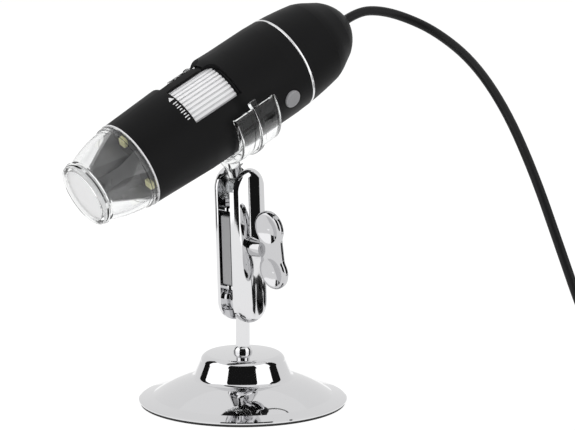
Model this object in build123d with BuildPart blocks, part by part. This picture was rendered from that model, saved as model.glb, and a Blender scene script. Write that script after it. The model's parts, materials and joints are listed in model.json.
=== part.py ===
"""A hand-held digital microscope on a small table stand.

A black barrel with a clear nose hangs in a clear snap clip. The clip's ball and the stand's ball are
gripped by a two-shell arm that a winged screw clamps. A thin cord runs from the barrel to an in-line
dimmer, a coil and a plug. Millimetres, +Z up, origin at the centre of the foot's underside. The barrel's
axis lies in a plane parallel to XZ and its nose points towards -X and down.
"""

import math
import os

from build123d import *

os.makedirs("parts", exist_ok=True)

# Foot
FOOT_R = 35.4
PAD_H = 0.9
PAD_INSET = 0.5
RIM_H = 1.6
CREASE_R = 30.5
CREASE_H = 2.7
DOME_FOOT_H = 8.6
DOME_TOP_H = 17.3
FOOT_WALL = 1.4
WEIGHT_R = 30.0

# Upright rod and its ball
ROD_R = 2.4
COLLAR_R = 3.25
COLLAR_H = 2.2
BALL_R = 4.6
SPIGOT_R = 1.5
FIT = 0.06
LOWER_BALL_Z = 35.3
SCREW_R = 1.2
SCREW_HEAD_R = 2.6

# Arm: two shells on the balls, the screw's axis square to the plane that it swings in
ARM_YAW = 10.0
ARM_LEAN = 2.1
BALL_SPACING = 38.6
ARM_W = 14.4
ARM_T = 13.2
ARM_GAP = 6.0
ARM_EDGE_R = 2.4
ARM_CROWN_R = 22.0
SOCKET_GAP = 0.1
MOUTH_SWING = 64.0
MOUTH_FLARE = 18.0
MOUTH_HALF = 3.3
POCKET_W = 8.0
POCKET_L = 22.0
POCKET_D = 1.3
LAND_H = 1.8
LAND_REACH = 2.4
LANDS_AT = (12.6, -14.2)
SPACER = (13.4, 24.0, 4.2)
SPACER_MID = -1.2
STUD_R = 1.95
NUT_AF = 7.0
NUT_T = 2.3
WING_TURN = -6.0
WING_LOBE_R = 6.1
WING_LOBES = 15.0
WING_MID = 15.1
WING_WAIST = 10.0
WING_T = 2.6
DISH_R = 15.0
DISH_DEPTH = 0.8
HUB_R = 3.3
HUB_GAP = 0.08

# Barrel
BARREL_PITCH = 26.3
BARREL_L = 111.0
STEM_ROLL = 16.75
STEM_L = 34.9
STEM_TO_CLIP = 2.9
CLIP_T = 57.4
TOP_ROLL = 6.0
NOSE_R = 10.6
NOSE_END_R = 14.3
NOSE_CONE_L = 15.0
NOSE_L = 16.8
NOSE_WALL = 1.3
NOSE_BULGE = 0.6
RIM_L = 2.0
RIM_R = 11.3
RIM_FRONT_R = 10.8
RING_T = 0.5
RING_R = 14.95
FRONT_R = 14.85
WAIST_R = 16.0
WAIST_T = 41.0
BODY_R = 16.5
BROW_R = 16.65
BROW_T = 54.6
HOUSING_END = 82.0
HOUSING_BORE = 15.0
FRONT_BORE = 13.9
FRONT_BORE_T = 37.2
TRIM_R = 16.35
TRIM_W = 0.9
CAP_R = 16.2
CAP_EDGE_R = 14.6
CAP_EDGE_T = 96.0
CAP_END_R = 10.85
CAP_END_T = 104.0
CAP_TIP_T = 110.3
CAP_WALL = 1.6
GROMMET_R = 3.2
WINDOW_START = 38.0
WINDOW_END = 56.8
WINDOW_NEAR = 6.7
WINDOW_FAR = 63.5
WINDOW_ARCH_R = 4.2
GROOVE_R = 15.5
STRIP_END = 51.6
WHEEL_R = 14.8
WHEEL_ROOT_R = 14.4
WHEEL_FRONT = 37.9
WHEEL_BACK = 55.8
WHEEL_RIBS = 60
LENS_R = 9.9
LENS_START = 30.0
LENS_END = 50.0
BUTTON_T = 73.0
BUTTON_ANGLE = 106.0
BUTTON_R = 3.0
BUTTON_TOP = 17.1
BUTTON_FOOT = 13.2
SWITCH_TOP = 12.5
BOARD_OUT = 8.0
LED_CIRCLE_R = 10.8
LED_W = 2.8
LED_H = 1.3
LED_COUNT = 4
LED_FIRST = 26.5

# Clip
CLIP_W = 16.7
CLIP_IN_R = 16.71
CLIP_OUT_R = 19.2
CLIP_OPEN = 76.5
CLIP_RIB = (2.2, 0.8)
NUB_R = 1.3
NUB_TURN = 7.5
NECK_R = 2.4
WEB_T = 3.2

# Cord, dimmer, coil and plug; a route's points are x, y, z
CORD_R = 1.6
CORD_LIE = 1.65
BEND_SHARE = 0.45
CORD_STRAIGHT = 6.2
LEAD_ROUTE = [
    (48.5, -10.2, 131.6),
    (57.5, -12.0, 129.2),
    (66.1, -19.0, 124.3),
    (70.0, -34.8, 115.5),
    (69.4, -53.6, 101.5),
    (68.7, -70.0, 82.0),
    (70.6, -80.9, 60.0),
    (75.4, -87.3, 38.5),
    (80.9, -91.2, 23.0),
    (87.3, -94.1, 11.5),
    (95.6, -97.7, 5.6),
]
DIMMER_AT = (105.2, -101.8)
DIMMER_YAW = -23.3
DIMMER = (30.0, 15.0, 9.6)
DIMMER_WALL = 1.2
THUMB_R = 7.5
THUMB_T = 3.2
THUMB_ASIDE = 2.2
TAIL_ROUTE = [
    (141.0, -117.2, 4.8),
    (152.0, -117.2, 4.2),
    (162.2, -113.0, 3.0),
    (169.9, -105.2, 2.1),
    (174.1, -95.0, 1.65),
]
COIL_CENTRE = (149.1, -80.8)
COIL_OUT_R = 25.0
COIL_PITCH = 3.7
COIL_TURNS = 4
COIL_RISE = 3.7
END_ROUTE = [(174.1, -69.6, 5.35), (172.5, -60.8, 4.1)]
PLUG_AT = (168.9, -52.0)
PLUG_YAW = 112.0
PLUG_BODY = (19.0, 15.6, 8.2)
PLUG_SHELL = (14.0, 12.0, 4.5)
PLUG_METAL = 0.4


def finish(part, name):
    """Labels a finished piece and writes its file."""
    part.label = name
    export_step(part, f"parts/{name}.step")


def polar(radius, angle):
    """A point of the XY plane at a radius and an angle in degrees."""
    return radius * math.cos(math.radians(angle)), radius * math.sin(math.radians(angle))


# Directions and places that the pieces share

UP = Vector(0, 0, 1)
arm_side = Vector(math.sin(math.radians(ARM_YAW)), -math.cos(math.radians(ARM_YAW)), 0)
lean_to = arm_side.cross(UP)
arm_up = UP * math.cos(math.radians(ARM_LEAN)) + lean_to * math.sin(math.radians(ARM_LEAN))
lower_ball_at = Vector(0, 0, LOWER_BALL_Z)
upper_ball_at = lower_ball_at + arm_up * BALL_SPACING
arm_mid = lower_ball_at + arm_up * (BALL_SPACING / 2)
arm_plane = Plane(origin=arm_mid, x_dir=arm_up.cross(arm_side), z_dir=arm_side)

pitch = math.radians(BARREL_PITCH)
to_nose = Vector(-math.cos(pitch), 0, -math.sin(pitch))
to_rear = to_nose * -1
over = Vector(-math.sin(pitch), 0, math.cos(pitch))
aside = Vector(0, -1, 0)


def round_barrel(angle):
    """The direction that points out of the barrel's axis, at an angle from straight over towards -Y."""
    a = math.radians(angle)
    return over * math.cos(a) + aside * math.sin(a)


stem_dir = round_barrel(STEM_ROLL)
stem_foot = upper_ball_at + stem_dir * STEM_L
nose_at = stem_foot + to_nose * (CLIP_T - STEM_TO_CLIP)
barrel_axis = Axis(nose_at, to_rear)


def barrel_side(angle):
    """The plane through the barrel's axis whose x runs to the rear and whose y points out at the angle."""
    out = round_barrel(angle)
    return Plane(origin=nose_at, x_dir=to_rear, z_dir=to_rear.cross(out))


def barrel_out(t, angle, radius):
    """The plane at a point over the barrel, whose z points out and whose x runs to the rear."""
    out = round_barrel(angle)
    return Plane(origin=nose_at + to_rear * t + out * radius, x_dir=to_rear, z_dir=out)


def barrel_across(t):
    """The plane across the barrel at t, whose x points over and whose z runs to the rear."""
    return Plane(origin=nose_at + to_rear * t, x_dir=over, z_dir=to_rear)


section = barrel_side(0)


# Foot: pad, weight and shell

with BuildPart() as base_pad:
    with BuildSketch():
        Circle(FOOT_R - PAD_INSET)
    extrude(amount=PAD_H)
finish(base_pad.part, "base_pad")

with BuildPart() as base_shell:
    with BuildSketch(Plane.XZ):
        with BuildLine():
            Polyline(
                (FOOT_R - FOOT_WALL, PAD_H),
                (FOOT_R, PAD_H),
                (FOOT_R, RIM_H - 0.3),
                (FOOT_R - 0.5, RIM_H),
                (CREASE_R, CREASE_H),
            )
            ThreePointArc((CREASE_R, CREASE_H), (25.0, 5.9), (18.2, DOME_FOOT_H))
            ThreePointArc((18.2, DOME_FOOT_H), (17.1, 9.1), (16.5, 9.95))
            Line((16.5, 9.95), (14.45, 14.6))
            ThreePointArc((14.45, 14.6), (13.8, 15.95), (12.4, DOME_TOP_H - 0.45))
            ThreePointArc((12.4, DOME_TOP_H - 0.45), (7.0, DOME_TOP_H - 0.12), (ROD_R, DOME_TOP_H))
            Polyline(
                (ROD_R, DOME_TOP_H),
                (ROD_R, DOME_TOP_H - 1.7),
                (11.5, DOME_TOP_H - 2.2),
                (13.0, 13.9),
                (15.0, 9.4),
                (16.9, 7.6),
            )
            ThreePointArc((16.9, 7.6), (24.3, 4.7), (CREASE_R - 1.1, CREASE_H - 1.2))
            Line((CREASE_R - 1.1, CREASE_H - 1.2), (FOOT_R - FOOT_WALL, PAD_H))
        make_face()
    revolve(axis=Axis.Z)
finish(base_shell.part, "base_shell")

with BuildPart() as base_weight:
    with BuildSketch(Plane.XZ):
        with BuildLine():
            Polyline(
                (SCREW_R + 0.2, PAD_H + 0.1 + 2.4),
                (SCREW_R + 0.2, 12.0),
                (10.5, 12.0),
                (12.6, DOME_FOOT_H - 0.4),
                (19.5, 3.6),
                (WEIGHT_R - 1.5, 1.5),
                (WEIGHT_R - 1.5, PAD_H),
                (SCREW_HEAD_R + 0.4, PAD_H),
                (SCREW_HEAD_R + 0.4, PAD_H + 0.1 + 2.4),
                close=True,
            )
        make_face()
    revolve(axis=Axis.Z)
finish(base_weight.part, "base_weight")

# Rod: it stands on the weight, passes the dome's hole and ends in a spigot inside the lower ball

ROD_FOOT_Z = 12.0
with BuildPart() as stem_rod:
    with BuildSketch(Plane.XY.offset(ROD_FOOT_Z)):
        Circle(ROD_R)
    extrude(amount=LOWER_BALL_Z - BALL_R / 2 - ROD_FOOT_Z)
    with Locations(Location(lower_ball_at)):
        Sphere(BALL_R + SOCKET_GAP, mode=Mode.SUBTRACT)
    with BuildSketch(Plane.XY.offset(LOWER_BALL_Z - BALL_R - 1)):
        Circle(SPIGOT_R)
    extrude(amount=BALL_R + 1 + 1.5)
    with BuildSketch(Plane.XY.offset(ROD_FOOT_Z)):
        Circle(SCREW_R)
    extrude(amount=8.0, mode=Mode.SUBTRACT)
finish(stem_rod.part, "stem_rod")

with BuildPart() as stem_collar:
    with BuildSketch(Plane.XZ):
        with BuildLine():
            Polyline((ROD_R, DOME_TOP_H), (COLLAR_R, DOME_TOP_H), (COLLAR_R, DOME_TOP_H + 0.7))
            ThreePointArc(
                (COLLAR_R, DOME_TOP_H + 0.7),
                (COLLAR_R - 0.3, DOME_TOP_H + COLLAR_H - 0.65),
                (ROD_R, DOME_TOP_H + COLLAR_H),
            )
            Line((ROD_R, DOME_TOP_H + COLLAR_H), (ROD_R, DOME_TOP_H))
        make_face()
    revolve(axis=Axis.Z)
finish(stem_collar.part, "stem_collar")

with BuildPart() as stem_screw:
    with BuildSketch(Plane.XY.offset(PAD_H + 0.1)):
        Circle(SCREW_HEAD_R)
    extrude(amount=2.4)
    with BuildSketch(Plane.XY.offset(PAD_H + 0.1 + 2.4)):
        Circle(SCREW_R)
    extrude(amount=ROD_FOOT_Z + 7.5 - PAD_H - 2.5)
    with BuildSketch(Plane.XY.offset(PAD_H + 0.1)):
        RegularPolygon(1.35, 6)
    extrude(amount=1.5, mode=Mode.SUBTRACT)
finish(stem_screw.part, "stem_screw")


def bored_ball(centre, towards, name):
    """A ball with a blind bore that a spigot enters along a direction, written under a name."""
    bore = Plane(origin=centre - towards * (BALL_R + 1), z_dir=towards)
    with BuildPart(Plane(origin=centre, z_dir=towards)) as ball:
        Sphere(BALL_R)
        with BuildSketch(bore):
            Circle(SPIGOT_R + FIT)
        extrude(amount=BALL_R + 1 + 1.8, mode=Mode.SUBTRACT)
    finish(ball.part, name)


bored_ball(lower_ball_at, UP, "lower_ball")
bored_ball(upper_ball_at, stem_dir * -1, "clip_ball")


# Arm: each shell is half of a long crowned link with a socket at each end, and a spacer lies between them


def mouth():
    """The flared way out of the upper socket that the leaning stem needs, as a solid to cut away."""
    start, end = BALL_R - 1.2, ARM_W
    half, flare = MOUTH_HALF, (end - start) * math.tan(math.radians(MOUTH_FLARE))
    stem_in_plane = (stem_dir - arm_side * stem_dir.dot(arm_side)).normalized()
    edge = stem_in_plane.rotate(Axis((0, 0, 0), arm_side), -MOUTH_SWING)
    with BuildPart() as cutter:
        with BuildSketch(Plane(origin=upper_ball_at, x_dir=edge, z_dir=edge.cross(arm_side))):
            with BuildLine():
                Polyline((start, 0), (start, half), (end, half + flare), (end, 0), close=True)
            make_face()
        revolve(axis=Axis(upper_ball_at, arm_side), revolution_arc=2 * MOUTH_SWING)
    return cutter.part


def arm_shell(side, cutters, name):
    """One half of the arm. Side is 1 for the half with the winged screw and -1 for the one with the nut."""
    inner = arm_plane.offset(side * ARM_GAP / 2)
    depth = (ARM_T - ARM_GAP) / 2
    with BuildPart() as shell:
        with BuildSketch(inner):
            SlotCenterToCenter(BALL_SPACING, ARM_W, rotation=90)
        extrude(amount=side * depth)
        crown_at = arm_mid + arm_side * (side * (ARM_T / 2 - ARM_CROWN_R))
        with BuildSketch(Plane(origin=crown_at, x_dir=arm_side, z_dir=arm_up)):
            Circle(ARM_CROWN_R)
        extrude(amount=BALL_SPACING, both=True, mode=Mode.INTERSECT)
        outer_face = shell.faces().sort_by(Axis(arm_mid, arm_side * side))[-1]
        fillet(outer_face.edges(), radius=ARM_EDGE_R)
        with BuildSketch(inner):
            SlotOverall(POCKET_L, POCKET_W, rotation=90)
        extrude(amount=side * POCKET_D, mode=Mode.SUBTRACT)
        with BuildSketch(inner.offset(side * -LAND_REACH)):
            with Locations(*[(0, land) for land in LANDS_AT]):
                RectangleRounded(ARM_W - 3.2, LAND_H, 0.6)
        extrude(amount=side * (LAND_REACH + 0.5))
        for cutter in cutters:
            add(cutter, mode=Mode.SUBTRACT)
        with BuildSketch(arm_plane):
            if side > 0:
                Circle(STUD_R + FIT)
            else:
                RegularPolygon(NUT_AF / 2, 6, major_radius=False)
        extrude(amount=ARM_T if side > 0 else -NUT_FLOOR, mode=Mode.SUBTRACT)
    finish(shell.part, name)


NUT_FLOOR = ARM_GAP / 2 + POCKET_D + 0.9
sockets = [Location(ball) * Sphere(BALL_R + SOCKET_GAP) for ball in (lower_ball_at, upper_ball_at)]
arm_shell(1, sockets + [mouth()], "arm_shell_near")
arm_shell(-1, sockets, "arm_shell_far")

with BuildPart() as arm_nut:
    with BuildSketch(arm_plane.offset(-NUT_FLOOR)):
        RegularPolygon(NUT_AF / 2, 6, major_radius=False)
        Circle(STUD_R + FIT, mode=Mode.SUBTRACT)
    extrude(amount=NUT_T)
finish(arm_nut.part, "arm_nut")

with BuildPart() as arm_spacer:
    with BuildSketch(arm_plane.offset(-SPACER[2] / 2)):
        with Locations((0, SPACER_MID)):
            RectangleRounded(SPACER[0], SPACER[1], 0.8)
        Circle(STUD_R + FIT, mode=Mode.SUBTRACT)
    extrude(amount=SPACER[2])
finish(arm_spacer.part, "arm_spacer")

# Winged screw: made with the screw's axis along X and its wing flat on XY, then placed

HUB_FOOT = ARM_T / 2 + HUB_GAP
wing_long = arm_up.rotate(Axis((0, 0, 0), arm_side), -WING_TURN)
wing_plane = Plane(origin=arm_mid, x_dir=arm_side, z_dir=arm_side.cross(wing_long))
with BuildPart() as wing_knob:
    with BuildSketch(Plane.XY.offset(-WING_T / 2)) as wing_outline:
        with Locations((WING_MID, WING_LOBES / 2), (WING_MID, -WING_LOBES / 2)):
            Circle(WING_LOBE_R)
        with Locations((WING_MID, 0)):
            Rectangle(WING_WAIST, WING_LOBES)
        waist_corners = wing_outline.vertices().filter_by(lambda corner: abs(corner.Y) < WING_LOBES / 2 - 1)
        fillet(waist_corners, radius=3.0)
    extrude(amount=WING_T)
    fillet(wing_knob.faces().filter_by(Axis.Z).edges(), radius=0.95)
    with GridLocations(0, WING_LOBES, 1, 2):
        for dish_z in (WING_T / 2 + DISH_R - DISH_DEPTH, DISH_DEPTH - DISH_R - WING_T / 2):
            with Locations((WING_MID, 0, dish_z)):
                Sphere(DISH_R, mode=Mode.SUBTRACT)
    with BuildSketch(Plane.YZ.offset(HUB_FOOT)):
        Circle(HUB_R)
    extrude(amount=WING_MID - WING_LOBE_R + 2.6 - HUB_FOOT, taper=4)
    with BuildSketch(Plane.YZ.offset(HUB_FOOT)):
        Circle(STUD_R)
    extrude(amount=5.0, mode=Mode.SUBTRACT)
finish(wing_plane.location * wing_knob.part, "wing_knob")

with BuildPart() as wing_stud:
    with BuildSketch(arm_plane.offset(HUB_FOOT + 5.0)):
        Circle(STUD_R)
    extrude(amount=-(HUB_FOOT + 5.0 + NUT_FLOOR - 0.3))
finish(wing_stud.part, "wing_stud")


# Nose: clear cone, its window, the white ring behind it, the lamps and the dark cone between them


def nose_outer(t):
    """The nose cone's outer radius at t."""
    return NOSE_R + (NOSE_END_R - NOSE_R) * t / NOSE_CONE_L


SPIGOT_END = 21.5
SPIGOT_IN_R = 12.9
WINDOW_SEAT_R = 9.2
WINDOW_FROM, WINDOW_TO = -1.2, 0.0
with BuildPart() as nose_cone:
    with BuildSketch(section):
        with BuildLine():
            Polyline((-RIM_L, WINDOW_SEAT_R), (-RIM_L, RIM_FRONT_R - 0.4))
            ThreePointArc(
                (-RIM_L, RIM_FRONT_R - 0.4), (0.12 - RIM_L, RIM_FRONT_R - 0.12), (0.4 - RIM_L, RIM_FRONT_R)
            )
            Polyline(
                (0.4 - RIM_L, RIM_FRONT_R),
                (-0.3, RIM_R),
                (0.1, RIM_R - 0.3),
                (0.5, NOSE_R - 0.15),
                (1.0, NOSE_R - 0.15),
                (1.3, nose_outer(1.3)),
            )
            ThreePointArc(
                (1.3, nose_outer(1.3)), (8.2, nose_outer(8.2) + NOSE_BULGE), (NOSE_CONE_L, NOSE_END_R)
            )
            Polyline(
                (NOSE_CONE_L, NOSE_END_R),
                (NOSE_CONE_L, NOSE_END_R + 0.4),
                (NOSE_L, NOSE_END_R + 0.4),
                (NOSE_L, FRONT_BORE),
                (SPIGOT_END, FRONT_BORE),
                (SPIGOT_END, SPIGOT_IN_R),
                (NOSE_CONE_L + 0.2, SPIGOT_IN_R),
            )
            ThreePointArc(
                (NOSE_CONE_L + 0.2, SPIGOT_IN_R),
                (8.7, (SPIGOT_IN_R + nose_outer(2.2) - NOSE_WALL) / 2 + NOSE_BULGE),
                (2.2, nose_outer(2.2) - NOSE_WALL),
            )
            Polyline(
                (2.2, nose_outer(2.2) - NOSE_WALL),
                (1.0, WINDOW_SEAT_R - 0.6),
                (WINDOW_TO, WINDOW_SEAT_R - 0.6),
                (WINDOW_TO, WINDOW_SEAT_R),
                (-RIM_L, WINDOW_SEAT_R),
            )
        make_face()
    revolve(axis=barrel_axis)
finish(nose_cone.part, "nose_cone")

with BuildPart() as front_window:
    with BuildSketch(barrel_across(WINDOW_FROM)):
        Circle(WINDOW_SEAT_R)
    extrude(amount=WINDOW_TO - WINDOW_FROM)
finish(front_window.part, "front_window")

with BuildPart() as front_ring:
    with BuildSketch(barrel_across(NOSE_L)):
        Circle(RING_R)
        Circle(FRONT_BORE, mode=Mode.SUBTRACT)
    extrude(amount=RING_T)
finish(front_ring.part, "front_ring")

BOARD_T = 16.9
HOOD_START = 2.6
HOOD_FRONT_R = 5.4
HOOD_BACK_R = 12.2
HOOD_BORE = (2.5, 4.2)
LAMP_SCOOP_R = 5.5
with BuildPart() as led_hood:
    with BuildSketch(section):
        with BuildLine():
            Polyline(
                (HOOD_START, HOOD_BORE[0]),
                (HOOD_START, HOOD_FRONT_R),
                (BOARD_T - 1.0, HOOD_BACK_R),
                (BOARD_T, HOOD_BACK_R),
                (BOARD_T, HOOD_BORE[1]),
                close=True,
            )
        make_face()
    revolve(axis=barrel_axis)
    with BuildSketch(barrel_across(BOARD_T)):
        with PolarLocations(LED_CIRCLE_R, LED_COUNT, start_angle=LED_FIRST):
            Circle(LAMP_SCOOP_R)
    extrude(amount=-BOARD_T, mode=Mode.SUBTRACT)
finish(led_hood.part, "led_hood")

with BuildPart() as led_board:
    with BuildSketch(barrel_across(BOARD_T)):
        Circle(SPIGOT_IN_R)
        Circle(HOOD_BORE[1], mode=Mode.SUBTRACT)
    extrude(amount=1.2)
finish(led_board.part, "led_board")

with BuildPart() as leds:
    with BuildSketch(barrel_across(BOARD_T)):
        with PolarLocations(LED_CIRCLE_R, LED_COUNT, start_angle=LED_FIRST):
            RectangleRounded(LED_W, LED_W, 0.4)
    extrude(amount=-LED_H)
    fillet(leds.faces().filter_by(barrel_axis).group_by(barrel_axis)[0].edges(), radius=0.25)
finish(leds.part, "leds")


# Housing: a tapered front, a brow, the rear body, two windows over the wheel and the button's hole


def ring_piece(t_from, t_to, r_from, r_to, angle_from, arc, rounding=0):
    """A block between two stations and two radii, swept over an arc round the barrel, its edges rounded."""
    with BuildPart() as block:
        with BuildSketch(barrel_side(angle_from)):
            with Locations(((t_from + t_to) / 2, (r_from + r_to) / 2)):
                if rounding:
                    RectangleRounded(t_to - t_from, r_to - r_from, rounding)
                else:
                    Rectangle(t_to - t_from, r_to - r_from)
        revolve(axis=barrel_axis, revolution_arc=arc)
    return block.part


def window(side):
    """The cut for the focus window on one side of the strip, with its rear corner there well rounded."""
    beside_strip, far_side = TOP_ROLL + side * WINDOW_NEAR, TOP_ROLL + side * WINDOW_FAR
    with BuildPart() as cut:
        add(
            ring_piece(
                WINDOW_START,
                WINDOW_END,
                WHEEL_ROOT_R,
                BODY_R + 1,
                min(beside_strip, far_side),
                WINDOW_FAR - WINDOW_NEAR,
            )
        )
        corner = nose_at + to_rear * WINDOW_END + round_barrel(beside_strip) * HOUSING_BORE
        fillet(cut.edges().filter_by(GeomType.LINE).sort_by_distance(corner)[0], radius=WINDOW_ARCH_R)
    return cut.part


button_angle = TOP_ROLL + BUTTON_ANGLE
windows = [window(1), window(-1)]
strip_groove = ring_piece(
    STRIP_END, BROW_T - 1.2, GROOVE_R, BODY_R + 1, TOP_ROLL - WINDOW_NEAR, 2 * WINDOW_NEAR
)
with BuildPart() as main_housing:
    with BuildSketch(section):
        with BuildLine():
            Polyline((NOSE_L + RING_T, FRONT_R), (WAIST_T, WAIST_R), (BROW_T - 2.0, WAIST_R))
            ThreePointArc((BROW_T - 2.0, WAIST_R), (BROW_T - 1.1, WAIST_R + 0.12), (BROW_T, BROW_R - 0.25))
            ThreePointArc((BROW_T, BROW_R - 0.25), (BROW_T + 1.0, BROW_R - 0.06), (BROW_T + 2.6, BROW_R))
            Polyline(
                (BROW_T + 2.6, BROW_R),
                (62.0, BODY_R),
                (77.0, BODY_R),
                (HOUSING_END, BODY_R - 0.25),
                (HOUSING_END, HOUSING_BORE),
                (FRONT_BORE_T, HOUSING_BORE),
                (FRONT_BORE_T, FRONT_BORE),
                (NOSE_L + RING_T, FRONT_BORE),
                (NOSE_L + RING_T, FRONT_R),
            )
        make_face()
    revolve(axis=barrel_axis)
    for cut_out in windows + [strip_groove]:
        add(cut_out, mode=Mode.SUBTRACT)
    with BuildSketch(barrel_out(BUTTON_T, button_angle, 0)):
        Circle(BUTTON_R + 0.1)
    extrude(amount=BODY_R + 2, mode=Mode.SUBTRACT)
finish(main_housing.part, "main_housing")

# Focus: ribbed wheel, the guide that keeps the lens tube from turning, and the tube with its two lenses

GUIDE_KEY = 12.4
KEY_W = 2.0
LENS_GLASS_R = 7.0
LENS_CURVE_R = 25.0
with BuildPart() as focus_wheel:
    with BuildSketch(barrel_across(WHEEL_FRONT)):
        Circle(WHEEL_ROOT_R)
        with PolarLocations(WHEEL_ROOT_R, WHEEL_RIBS):
            Rectangle(2 * (WHEEL_R - WHEEL_ROOT_R), 0.85)
        Circle(LENS_R + FIT, mode=Mode.SUBTRACT)
    extrude(amount=WHEEL_BACK - WHEEL_FRONT)
finish(focus_wheel.part, "focus_wheel")

with BuildPart() as lens_guide:
    with BuildSketch(barrel_across(SPIGOT_END)):
        Circle(FRONT_BORE)
        Circle(LENS_R + FIT, mode=Mode.SUBTRACT)
        Rectangle(2 * GUIDE_KEY + 0.4, KEY_W + 0.4, mode=Mode.SUBTRACT)
    extrude(amount=FRONT_BORE_T - SPIGOT_END)
finish(lens_guide.part, "lens_guide")

with BuildPart() as lens_barrel:
    with BuildSketch(barrel_across(LENS_START)):
        Circle(LENS_R)
    extrude(amount=LENS_END - LENS_START)
    with BuildSketch(barrel_across(LENS_START - 3.0)):
        Rectangle(2 * GUIDE_KEY, KEY_W)
        Circle(LENS_R - 1.5, mode=Mode.SUBTRACT)
    extrude(amount=6.0)
    with BuildSketch(barrel_across(LENS_START - 3.0)):
        Circle(5.0)
    extrude(amount=LENS_END - LENS_START + 3.0, mode=Mode.SUBTRACT)
    for seat in (LENS_START, LENS_END - 2.4):
        with BuildSketch(barrel_across(seat)):
            Circle(LENS_GLASS_R)
        extrude(amount=2.4, mode=Mode.SUBTRACT)
finish(lens_barrel.part, "lens_barrel")


def lens(t_flat, bulge_to, name):
    """A flat and convex lens in its seat, its flat side at t and its bulge reaching the other station."""
    towards_bulge = math.copysign(1.0, bulge_to - t_flat)
    with BuildPart() as glass:
        with BuildSketch(barrel_across(t_flat)):
            Circle(LENS_GLASS_R)
        extrude(amount=bulge_to - t_flat)
        with Locations(barrel_across(bulge_to - towards_bulge * LENS_CURVE_R)):
            Sphere(LENS_CURVE_R, mode=Mode.INTERSECT)
    finish(glass.part, name)


lens(LENS_START + 2.4, LENS_START + 0.4, "lens_front")
lens(LENS_END - 2.4, LENS_END - 0.4, "lens_rear")

# Electronics: a ring that closes the wheel's space and carries the sensor board, and the long main board

RETAINER_T = WINDOW_END + 0.1
SENSOR_T = RETAINER_T + 3.3
SENSOR_BOARD_T = 1.2
POST_CIRCLE = 12.4
with BuildPart() as wheel_retainer:
    with BuildSketch(barrel_across(RETAINER_T)):
        Circle(HOUSING_BORE)
        Circle(LENS_R + 0.5, mode=Mode.SUBTRACT)
    extrude(amount=1.5)
    with BuildSketch(barrel_across(RETAINER_T)):
        with PolarLocations(POST_CIRCLE, 3, start_angle=20):
            Circle(1.8)
    extrude(amount=SENSOR_T - RETAINER_T)
    with BuildSketch(barrel_across(RETAINER_T)):
        with PolarLocations(POST_CIRCLE, 3, start_angle=20):
            Circle(0.8)
    extrude(amount=SENSOR_T - RETAINER_T, mode=Mode.SUBTRACT)
finish(wheel_retainer.part, "wheel_retainer")

with BuildPart() as sensor_board:
    with BuildSketch(barrel_across(SENSOR_T)):
        Circle(HOUSING_BORE - 0.5)
        with PolarLocations(POST_CIRCLE, 3, start_angle=20):
            Circle(0.8, mode=Mode.SUBTRACT)
    extrude(amount=SENSOR_BOARD_T)
finish(sensor_board.part, "sensor_board")

with BuildPart() as sensor_screws:
    with BuildSketch(barrel_across(RETAINER_T + 0.3)):
        with PolarLocations(POST_CIRCLE, 3, start_angle=20):
            Circle(0.8)
    extrude(amount=SENSOR_T + SENSOR_BOARD_T - RETAINER_T - 0.3)
    with BuildSketch(barrel_across(SENSOR_T + SENSOR_BOARD_T)):
        with PolarLocations(POST_CIRCLE, 3, start_angle=20):
            Circle(1.5)
    extrude(amount=0.9)
finish(sensor_screws.part, "sensor_screws")

with BuildPart() as image_sensor:
    with BuildSketch(barrel_across(SENSOR_T)):
        RectangleRounded(8.0, 8.0, 0.3)
    extrude(amount=-1.2)
finish(image_sensor.part, "image_sensor")

MAIN_BOARD_W = 19.0
MAIN_BOARD_END = 90.0
board_start = SENSOR_T + SENSOR_BOARD_T
with BuildPart() as main_board:
    with BuildSketch(barrel_out((board_start + MAIN_BOARD_END) / 2, button_angle, BOARD_OUT)):
        RectangleRounded(MAIN_BOARD_END - board_start, MAIN_BOARD_W, 0.5)
    extrude(amount=1.2)
finish(main_board.part, "main_board")

# Snapshot button over its switch

with BuildPart() as snap_switch:
    with BuildSketch(barrel_out(BUTTON_T, button_angle, BOARD_OUT + 1.2)):
        RectangleRounded(6.0, 6.0, 0.4)
    extrude(amount=2.2)
    with BuildSketch(barrel_out(BUTTON_T, button_angle, BOARD_OUT + 3.4)):
        Circle(1.7)
    extrude(amount=SWITCH_TOP - BOARD_OUT - 3.4)
finish(snap_switch.part, "snap_switch")

with BuildPart() as snap_button:
    with BuildSketch(barrel_out(BUTTON_T, button_angle, BUTTON_FOOT)):
        Circle(BUTTON_R + 0.8)
    extrude(amount=1.1)
    with BuildSketch(barrel_out(BUTTON_T, button_angle, BUTTON_FOOT)):
        Circle(BUTTON_R)
    extrude(amount=BUTTON_TOP - BUTTON_FOOT)
    button_side = Axis(nose_at + to_rear * BUTTON_T, round_barrel(button_angle))
    fillet(snap_button.faces().sort_by(button_side)[-1].edges(), radius=0.5)
finish(snap_button.part, "snap_button")

# Rear: bright ring, cap and the grommet that the cord leaves by

with BuildPart() as trim_ring:
    with BuildSketch(barrel_across(HOUSING_END)):
        Circle(TRIM_R)
        Circle(HOUSING_BORE, mode=Mode.SUBTRACT)
    extrude(amount=TRIM_W)
    fillet(trim_ring.edges().filter_by(GeomType.CIRCLE).sort_by(SortBy.RADIUS)[-2:], radius=0.25)
finish(trim_ring.part, "trim_ring")

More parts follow.
